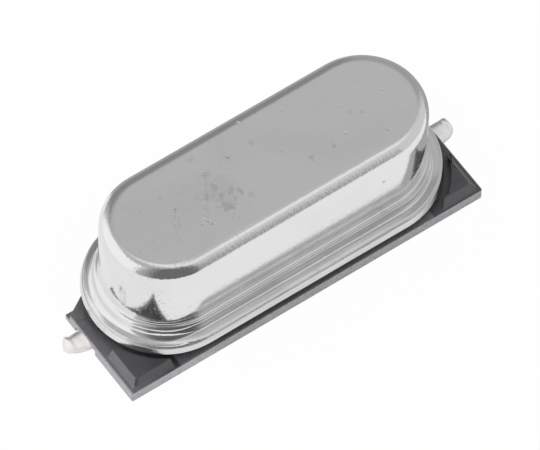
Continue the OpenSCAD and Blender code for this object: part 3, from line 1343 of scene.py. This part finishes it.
@dataclass(frozen=True)
class Lead:
    """A pin that bends outwards and is rolled into a flat, rough-cut tongue.

    Its surface is a cross-section carried along the pin's middle line: a superellipse that changes
    smoothly from a round wire to a low, crowned tongue.
    """

    side: Side
    pin_x: float
    top: float
    tip_x: float
    shape: TipShape
    wire: float = 0.215 * MM
    bend: float = 0.35 * MM
    half_thick: float = 0.17 * MM
    rolled_over: float = 0.55 * MM
    sunk_over: float = 0.3 * MM
    crinkle: float = 0.009 * MM
    folds: tuple[float, ...] = (13.0, 5.0, 11.0, 6.0)
    squareness: Pair = (2.0, 0.2)
    thin_tip: Pair = (0.05, 0.8)
    around: int = 56
    steps: tuple[int, int, int] = (12, 17, 90)

    def stations(self) -> tuple[np.ndarray, np.ndarray, np.ndarray]:
        """The middle line, which drops from the pin's top, turns a quarter circle and runs out to the tip.

        Returns:
            Places (n, 2) in X and Z with X counted outwards, directions (n, 2), and how far each
            station is past the bend, (n,).
        """
        low, bend = self.wire, self.bend
        drop_steps, turn_steps, run_steps = self.steps
        drop = np.linspace(self.top, low + bend, drop_steps)[:-1]
        turn = np.linspace(0, QUARTER, turn_steps)
        run = np.linspace(self.pin_x + bend, self.tip_x, run_steps)[1:]
        places = np.concatenate([
            np.column_stack([np.full(len(drop), self.pin_x), drop]),
            np.column_stack([self.pin_x + bend * (1 - np.cos(turn)), low + bend * (1 - np.sin(turn))]),
            np.column_stack([run, np.full(len(run), low)]),
        ])
        ways = np.concatenate([
            np.tile([0.0, -1.0], (len(drop), 1)),
            np.column_stack([np.sin(turn), -np.cos(turn)]),
            np.tile([1.0, 0.0], (len(run), 1)),
        ])
        return places, ways, np.clip(places[:, 0] - self.pin_x - bend, 0, None)

    def surface(self) -> np.ndarray:
        """The whole skin as rings around the middle line.

        The share of the end's round falls from 1 to 0 as the root of one minus the square of how far
        a ring is into the round. Both edges close on the tip's middle by it. The thickness swells
        to a bead at the tip and narrows to a neck behind it, each as a Gaussian of the distance.
        The folds on its upper side are a sine times a cosine of X and Y in millimetres.

        Returns:
            Grid of shape (stations, points around, 3).
        """
        places, ways, past = self.stations()
        shape, wire = self.shape, self.wire
        flat = ease(past / self.rolled_over)
        left = self.tip_x - places[:, 0]
        into = np.clip(1 - left / shape.reach, 0, 1)
        round_end = np.sqrt(np.clip(1 - into ** 2, 4e-4, 1))
        tapered = ease(1 - left / (shape.taper * shape.reach))
        near_plain = shape.near_root + (shape.near_tip - shape.near_root) * tapered
        burr = shape.burr * bell(left - shape.burr_back, shape.burr_width)
        far = wire + (shape.far - wire) * flat + burr
        near = -wire + (near_plain + wire) * flat
        far = shape.middle + (far - shape.middle) * round_end
        near = shape.middle + (near - shape.middle) * round_end
        swell = 1 + shape.bead * bell(left - shape.bead_back, shape.bead_spread * shape.bead_back)
        swell -= shape.neck * bell(left - shape.neck_back, shape.neck_spread * shape.neck_back)
        thin = np.maximum(round_end, self.thin_tip[0]) ** self.thin_tip[1]
        half_t = (wire + (self.half_thick - wire) * flat) * swell * thin
        power = (self.squareness[0] + self.squareness[1] * flat)[:, None]
        angle = np.linspace(0, 2 * math.pi, self.around, endpoint=False)
        cos, sin = np.cos(angle)[None], np.sin(angle)[None]
        across = np.sign(cos) * np.abs(cos) ** (2 / power)
        upward = np.sign(sin) * np.abs(sin) ** (2 / power)
        flat_y = far[:, None] * (1 + across) / 2 + near[:, None] * (1 - across) / 2
        y = np.where(past[:, None] > 0, flat_y, wire * across)
        centre = places.copy()
        centre[:, 1] -= (wire - half_t) * ease(past / self.sunk_over)
        x = centre[:, :1] - ways[:, 1:] * upward * half_t[:, None]
        z = centre[:, 1:] + ways[:, :1] * upward * half_t[:, None]
        a, b, c, d = self.folds
        folds = np.sin(x / MM * a + b * y / MM + self.side.value) * np.cos(y / MM * c - d * x / MM)
        z += self.crinkle * folds * flat[:, None] * np.clip(upward, 0, 1) * round_end[:, None]
        return np.stack([self.side.value * np.minimum(x, self.tip_x), y, np.maximum(z, 0.0)], axis=2)

    def build(self) -> bpy.types.Object:
        """Makes the lead, with its two ends closed by small fans.

        Returns:
            The piece.
        """
        rings = self.surface()
        first, last = (np.tile(ring.mean(axis=0), (1, self.around, 1)) for ring in (rings[0], rings[-1]))
        sketch = Sketch()
        sketch.grid(np.concatenate([first, rings, last]))
        return sketch.build(f"lead_wire_{self.side.name.lower()}", sharp=55.0)


# ---- the top face's marks


def smudge(x: float, y: float, radius: float, tone: float = 0.3) -> Spot:
    """A soft dark smudge, from sizes in millimetres."""
    return Spot(x * MM, y * MM, radius * MM, tone=tone)


def dent(x: float, y: float, radius: float = 0.045, depth: float = 0.012) -> Spot:
    """A small bright-edged dent, from sizes in millimetres."""
    return Spot(x * MM, y * MM, radius * MM, depth=depth * MM)


def scratch(start: Pair, end: Pair, tone: float = 0.04, width: float = 0.035,
            depth: float = 0.003) -> Scratch:
    """A fine scratch, from sizes in millimetres."""
    return Scratch((start[0] * MM, start[1] * MM), (end[0] * MM, end[1] * MM), width * MM, tone, depth * MM)


TOP_MARKS = (
    smudge(-1.57, -0.60, 0.32, 0.45), smudge(-1.53, 0.07, 0.18), smudge(-1.50, -0.22, 0.15),
    smudge(-0.99, -0.38, 0.13), smudge(-1.58, 1.18, 0.14), smudge(1.17, -0.62, 0.13, 0.4),
    smudge(1.88, -0.64, 0.12, 0.4), smudge(0.61, 0.03, 0.10), smudge(0.11, 0.69, 0.11),
    smudge(-0.64, 0.69, 0.12), smudge(3.13, -0.17, 0.10), smudge(2.85, -0.02, 0.09),
    smudge(-2.93, 0.64, 0.12), smudge(-1.53, 0.53, 0.12), smudge(-1.45, -0.20, 0.80, 0.13),
    smudge(-1.20, -0.25, 0.20), smudge(-1.86, -0.05, 0.16, 0.2), smudge(-0.85, -0.62, 0.13),
    dent(-2.21, -0.82, 0.06, 0.020), dent(3.40, -1.02, 0.06, 0.018), dent(1.37, 1.11), dent(3.55, 0.75),
    dent(4.03, 0.11), dent(0.17, 1.43), dent(-0.66, 0.71), dent(2.77, 0.35), dent(2.39, -0.48),
    dent(2.36, -0.62), dent(-2.45, -0.69), dent(-2.96, 0.02, 0.05), smudge(-2.80, 0.10, 0.08),
    Spot(2.74 * MM, -1.80 * MM, 0.055 * MM, tone=0.8, depth=0.006 * MM, drop=1.07 * MM),
    scratch((-2.78, 0.16), (-3.10, -0.30)), scratch((-3.02, 0.10), (-3.24, -0.76)),
    scratch((-2.86, -0.10), (-3.02, -0.40), 0.1), scratch((-1.48, 0.65), (-2.30, -0.72), 0.06),
    scratch((-2.19, 0.67), (-2.22, 0.39), 0.1), scratch((-2.36, -0.55), (-2.20, -0.80), 0.1),
)


# ---- the whole unit


def oblong(node: str) -> tuple[float, OblongPath]:
    """An oblong node's sizes, from its box.

    Args:
        node: the node's name.

    Returns:
        Its greatest distance from its middle line, and its path.
    """
    low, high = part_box(node)
    rim = (high.y - low.y) / 2
    return rim, OblongPath(middle_x=(low.x + high.x) / 2, half_span=(high.x - low.x) / 2 - rim)


def seal(side: Side) -> Pair:
    """One glass seal's middle along X, which is its pin's, and its radius."""
    low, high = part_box(f"glass_seal_{side.name.lower()}")
    return (low.x + high.x) / 2, (high.x - low.x) / 2


class CrystalUnit:
    """Builds and dresses every piece of the unit around the frame's own boxes."""

    def add_can(self) -> None:
        """The can, in satin bright plating."""
        low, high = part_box("can")
        rim, path = oblong("can")
        can = Can(path=path, bottom=low.z, top=high.z, rim=rim)
        # Painted shade along the front of the skirt, with highlight bands at the step's rounded edges.
        rings = RingLines(path.middle_x, path.half_span, below=low.z + can.step_top - 0.01 * MM,
                          above=low.z + can.rim_thick, height=0.0008 * MM, tint=0.35,
                          front_painted_shade=0.66, front_rough=0.14,
                          highlight_bands=(can.wall + 0.010 * MM, can.wall + can.step_out + 0.022 * MM,
                                  can.crease_out + can.crease_run / 2))
        look = PlatedMetal("satin_plating", bright=(0.91, 0.91, 0.91), dull=(0.60, 0.60, 0.605),
                           roughness=0.06, rough_spread=0.02, nick_share=0.01, cloud_share=0.14,
                           grain_height=0.0004 * MM, grain_pitch=13000.0, edge_grain=0.0011 * MM,
                           edge_span=(high.z - can.top_round, high.z), fleck_tone=0.25,
                           fleck_depth=0.0012 * MM, rings=rings, marks=TOP_MARKS, marked_level=high.z)
        finish_piece(can.build(), look.make(), Slot.CAN, "can")

    def add_header(self) -> None:
        """The header, a little rougher than the can, with drawn lines and a painted shade on the front of its
        flange.
        """
        low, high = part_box("header")
        rim, path = oblong("header")
        pin, bore_radius = seal(Side.RIGHT)
        header = Header(path=path, bottom=low.z, flange_top=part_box("can")[0].z, plug_top=high.z, rim=rim,
                        bore_x=pin - path.middle_x, bore_radius=bore_radius)
        # Painted shade along the front of the flange.
        rings = RingLines(path.middle_x, path.half_span, below=high.z, above=low.z, height=0.0015 * MM,
                          tint=0.3, front_painted_shade=0.2, front_rough=0.08)
        look = PlatedMetal("header_plating", bright=(0.91, 0.91, 0.905), dull=(0.60, 0.60, 0.60),
                           roughness=0.16, cloud_share=0.14, rings=rings)
        finish_piece(header.build(), look.make(), Slot.HEADER, "header")

    def add_insulator(self) -> None:
        """The dark moulding."""
        _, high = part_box("insulator")
        _, seat = oblong("header")
        moulding = Insulator(half_length=high.x, half_width=high.y, top=high.z, seat=seat,
                             pin_x=seal(Side.RIGHT)[0] - seat.middle_x)
        finish_piece(moulding.build(), MouldedPlastic().make(), Slot.PLASTIC, "insulator")

    def add_leads(self) -> None:
        """Both leads, tinned, each with its own rough-cut tip."""
        look = PlatedMetal("tinning", bright=(1.0, 0.975, 0.96), dull=(0.90, 0.875, 0.86), roughness=0.26,
                           rough_spread=0.16, metallic=0.12, whitened=(0.05 * MM, 0.24 * MM),
                           grain_height=0.003 * MM, grain_pitch=5500.0, nick_share=0.15).make()
        shapes = {
            Side.LEFT: TipShape(far=0.34 * MM, near_root=-0.31 * MM, near_tip=-0.17 * MM, middle=0.12 * MM,
                                reach=0.24 * MM, burr=0.05 * MM, burr_back=0.17 * MM),
            Side.RIGHT: TipShape(far=0.35 * MM, near_root=-0.33 * MM, near_tip=-0.21 * MM, middle=0.14 * MM,
                                 reach=0.28 * MM, burr=0.06 * MM, burr_back=0.09 * MM),
        }
        tip_gap = 0.002 * MM
        for side, shape in shapes.items():
            node = f"lead_{side.name.lower()}"
            low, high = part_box(node)
            lead = Lead(side=side, pin_x=abs(seal(side)[0]), top=high.z,
                        tip_x=max(-low.x, high.x) - tip_gap, shape=shape)
            finish_piece(lead.build(), look, Slot.LEAD, node)

    def dress_inside(self) -> None:
        """The sealed pieces keep their CAD shapes and get their own finishes."""
        finishes = {
            "glass_seal": PlainFinish("seal_glass", (0.02, 0.035, 0.03), 0.12, grain_height=0.0005 * MM),
            "support": PlainFinish("spring_strip", (0.74, 0.73, 0.70), 0.3, metallic=1.0),
            "quartz_blank": PlainFinish("quartz", (0.95, 0.96, 0.97), 0.05, transmission=1.0, variation=0.03,
                                        grain_height=0.0003 * MM),
            "electrode": PlainFinish("silver_film", (0.90, 0.88, 0.85), 0.18, metallic=1.0, variation=0.1),
            "adhesive": PlainFinish("silver_adhesive", (0.45, 0.44, 0.42), 0.6, metallic=0.3,
                                    grain_height=0.01 * MM, grain_pitch=4000.0),
        }
        for key, finish in finishes.items():
            look = finish.make()
            for name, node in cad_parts.items():
                if name.startswith(key):
                    node.data.materials.clear()
                    node.data.materials.append(look)
                    LOG.info("%s: dressed in %s", name, look.name)

    def build(self) -> None:
        """Builds everything, from the board up."""
        self.add_insulator()
        self.add_leads()
        self.add_header()
        self.add_can()
        self.dress_inside()


# ---- the studio


def away(azimuth: float, elevation: float) -> Vector:
    """The direction at an azimuth, counted from the front, and an elevation, both in degrees."""
    turn, lift = math.radians(azimuth), math.radians(elevation)
    return Vector((math.sin(turn) * math.cos(lift), -math.cos(turn) * math.cos(lift), math.sin(lift)))


@dataclass(frozen=True)
class Softbox:
    """A square area lamp that the metal doesn't mirror: where it hangs, its size and its brightness."""

    name: str = "overhead_softbox"
    azimuth: float = -30.0
    elevation: float = 70.0
    distance: float = 0.5
    size: float = 0.45
    radiance: float = 2.0

    def place(self, centre: Vector) -> None:
        """Hangs the lamp and turns it to the centre.

        A lamp's power is its face's radiance times its area times pi.

        Args:
            centre: the point that it faces.
        """
        lamp = bpy.data.lights.new(self.name, "AREA")
        lamp.size = self.size
        lamp.energy = self.radiance * math.pi * self.size ** 2
        holder = bpy.data.objects.new(self.name, lamp)
        way = away(self.azimuth, self.elevation)
        holder.location = centre + way * self.distance
        holder.rotation_euler = way.to_track_quat("Z", "Y").to_euler()
        holder.visible_glossy = False
        bpy.context.scene.collection.objects.link(holder)


@dataclass(frozen=True)
class Panel:
    """A bright or dark panel in the room around the unit, as the metal mirrors it.

    It covers the directions within a half width of its azimuth and between two heights, where a
    direction's height is the sine of its elevation. A panel with a floor reach goes on along the
    floor, from that distance outwards.
    """

    azimuth: float
    half_width: float
    low: float
    high: float
    level: float
    soft_side: float
    soft_low: float = 0.04
    soft_high: float = 0.04
    floor_reach: float = 0.0

    def across(self, graph: Graph, level_way: Value) -> Value:
        """How much a level direction lies within the panel's width, 0 to 1."""
        facing = graph.vector("DOT_PRODUCT", level_way, tuple(away(self.azimuth, 0.0)))
        return facing.past(math.cos(math.radians(self.half_width)), self.soft_side)

    def mask(self, graph: Graph, level_way: Value, height: Value) -> Value:
        """How much a direction meets the panel, 0 to 1, from its level part and its height."""
        between = height.past(self.low, self.soft_low) * height.before(self.high, self.soft_high)
        return self.across(graph, level_way) * between


REAR_CARD = Panel(azimuth=137.0, half_width=50.0, low=-1.5, high=0.72, level=0.35, soft_side=0.15,
                  soft_high=0.12, floor_reach=5.5 * MM)
REAR_DARK = Panel(azimuth=166.0, half_width=17.0, low=-1.5, high=0.77, level=0.25, soft_side=0.02,
                  soft_high=0.13, floor_reach=5.0 * MM)
RIGHT_SIDE = Panel(azimuth=58.0, half_width=42.0, low=-0.1, high=0.90, level=0.62, soft_side=0.12)
RIGHT_WINDOW = Panel(azimuth=57.0, half_width=30.0, low=0.86, high=1.5, level=0.87, soft_side=0.25)
REAR_WINDOW = Panel(azimuth=156.0, half_width=28.0, low=0.925, high=1.5, level=0.80, soft_side=0.06,
                    soft_low=0.030)
ZENITH_WINDOW = Panel(azimuth=112.0, half_width=72.0, low=0.968, high=1.5, level=0.80, soft_side=0.20,
                      soft_low=0.012)
LEFT_SHEET = Panel(azimuth=-117.0, half_width=46.0, low=-1.5, high=0.885, level=0.95, soft_side=0.08,
                   soft_high=0.03)
LEFT_STAND = Panel(azimuth=-60.0, half_width=16.0, low=-0.30, high=0.975, level=0.40, soft_side=0.02,
                   soft_high=0.025, floor_reach=26.0 * MM)
CAMERA_SIDE = Panel(azimuth=-20.0, half_width=38.0, low=-0.30, high=0.975, level=0.150, soft_side=0.12,
                    soft_high=0.025, floor_reach=26.0 * MM)


@dataclass(frozen=True)
class Studio:
    """A pale floor, a soft dome with panels, one large lamp and the camera.

    Each later panel covers the earlier ones.
    """

    centre: Vector
    panels: tuple[Panel, ...] = (REAR_CARD, REAR_DARK, RIGHT_SIDE, RIGHT_WINDOW, REAR_WINDOW, ZENITH_WINDOW,
                                 LEFT_SHEET, LEFT_STAND, CAMERA_SIDE)
    dome_level: float = 0.48
    floor_half: float = 0.5
    floor_drop: float = 0.002 * MM
    floor_color: float = 0.92
    floor_seen_share: float = 0.96
    floor_mirrored_share: float = 0.85
    floor_mirrored_level: float = 0.85
    reach_fade: float = 1.5
    shade_y: Pair = (-2.945 * MM, -2.925 * MM)
    shade_x: Pair = (-3.4 * MM, -2.6 * MM)
    shade_level: float = 0.38
    azimuth: float = -36.244
    elevation: float = 57.640
    roll: float = 1.577
    distance: float = 250 * MM
    aim: Triple = (-0.123 * MM, -0.557 * MM, 1.649 * MM)
    lens: float = 615.5
    sensor: float = 36.0
    clip: Pair = (0.01, 10.0)

    def add_floor(self) -> None:
        """A plain pale floor at the board's level.

        To the camera and in reflections it is mostly an even white, and the lit part keeps the shadow.
        In reflections the panels that reach the floor go on along it, and a shade lies close along
        the unit's front.
        """
        half = self.floor_half
        mesh = bpy.data.meshes.new("floor")
        mesh.from_pydata([(-half, -half, 0), (half, -half, 0), (half, half, 0), (-half, half, 0)], [],
                         [(0, 1, 2, 3)])
        floor = bpy.data.objects.new("floor", mesh)
        floor.location.z = -self.floor_drop
        bpy.context.scene.collection.objects.link(floor)
        look = bpy.data.materials.new("pale_floor")
        look.use_nodes = True
        look.node_tree.nodes.clear()
        graph = Graph(look.node_tree)
        place = graph.out("ShaderNodeTexCoord", output="Object")
        x, y, _ = graph.parts(place)
        out = graph.vector("LENGTH", place)
        level_way = graph.vector("NORMALIZE", place)
        light_path = graph.node("ShaderNodeLightPath").outputs
        seen, glossy, through = (Value(graph, light_path[name]) for name in
                                 ("Is Camera Ray", "Is Glossy Ray", "Is Transmission Ray"))
        patches = []
        for panel in self.panels:
            if panel.floor_reach:
                beyond = out.span(panel.floor_reach, panel.floor_reach * self.reach_fade)
                patches.append((beyond * panel.across(graph, level_way), panel.level))
        patches.append((y.span(*self.shade_y) * x.span(*self.shade_x), self.shade_level))
        strength = glossy.span(0.0, 1.0, 1.0, self.floor_mirrored_level)
        share = (seen.most(through) * self.floor_seen_share).most(glossy * self.floor_mirrored_share)
        for patch, patch_level in patches:
            covered = glossy * patch
            strength, share = graph.mix(covered, strength, patch_level), share.most(covered)
        lit = graph.out("ShaderNodeBsdfDiffuse", {"Color": (*[self.floor_color] * 3, 1.0)})
        white = graph.out("ShaderNodeEmission", {"Color": WHITE, "Strength": strength})
        surface = graph.out("ShaderNodeMixShader", {0: share, 1: lit, 2: white})
        graph.node("ShaderNodeOutputMaterial", {"Surface": surface})
        mesh.materials.append(look)

    def add_dome(self) -> None:
        """The room: white to the camera, and an even dome with its panels for all else."""
        world = bpy.data.worlds.new("studio_dome")
        bpy.context.scene.world = world
        world.use_nodes = True
        world.node_tree.nodes.clear()
        graph = Graph(world.node_tree)
        way = graph.out("ShaderNodeTexCoord", output="Generated")
        _, _, height = graph.parts(way)
        level_way = graph.vector("NORMALIZE", graph.vector("MULTIPLY", way, (1.0, 1.0, 0.0)))
        level: float | Value = self.dome_level
        for panel in self.panels:
            level = graph.mix(panel.mask(graph, level_way, height), level, panel.level)
        dome, white = (graph.out("ShaderNodeBackground", {"Color": WHITE, "Strength": strength})
                       for strength in (level, 1.0))
        seen = graph.out("ShaderNodeLightPath", output="Is Camera Ray")
        surface = graph.out("ShaderNodeMixShader", {0: seen, 1: dome, 2: white})
        graph.node("ShaderNodeOutputWorld", {"Surface": surface})

    def add_camera(self) -> None:
        """A long lens at a high front angle, with a slight roll."""
        turn, roll = math.radians(self.azimuth), math.radians(self.roll)
        back = away(self.azimuth, self.elevation)
        level = Vector((math.cos(turn), math.sin(turn), 0.0))
        right = math.cos(roll) * level + math.sin(roll) * back.cross(level)
        lens = bpy.data.cameras.new("camera")
        lens.sensor_width, lens.lens = self.sensor, self.lens
        lens.clip_start, lens.clip_end = self.clip
        holder = bpy.data.objects.new("camera", lens)
        turned = Matrix((right, back.cross(right), back)).transposed().to_4x4()
        holder.matrix_world = Matrix.Translation(Vector(self.aim) + back * self.distance) @ turned
        bpy.context.scene.collection.objects.link(holder)
        bpy.context.scene.camera = holder

    def build(self) -> None:
        """Sets up floor, dome, lamp and camera."""
        self.add_floor()
        self.add_dome()
        Softbox().place(self.centre)
        self.add_camera()
        bpy.context.scene.view_settings.view_transform = "Standard"


def main() -> None:
    """Builds the unit and the studio around it."""
    logging.basicConfig(level=logging.INFO, format="%(name)s: %(message)s")
    CrystalUnit().build()
    low, high = CAD_BOX
    Studio(centre=(low + high) / 2).build()


if __name__ == "__main__":
    main()
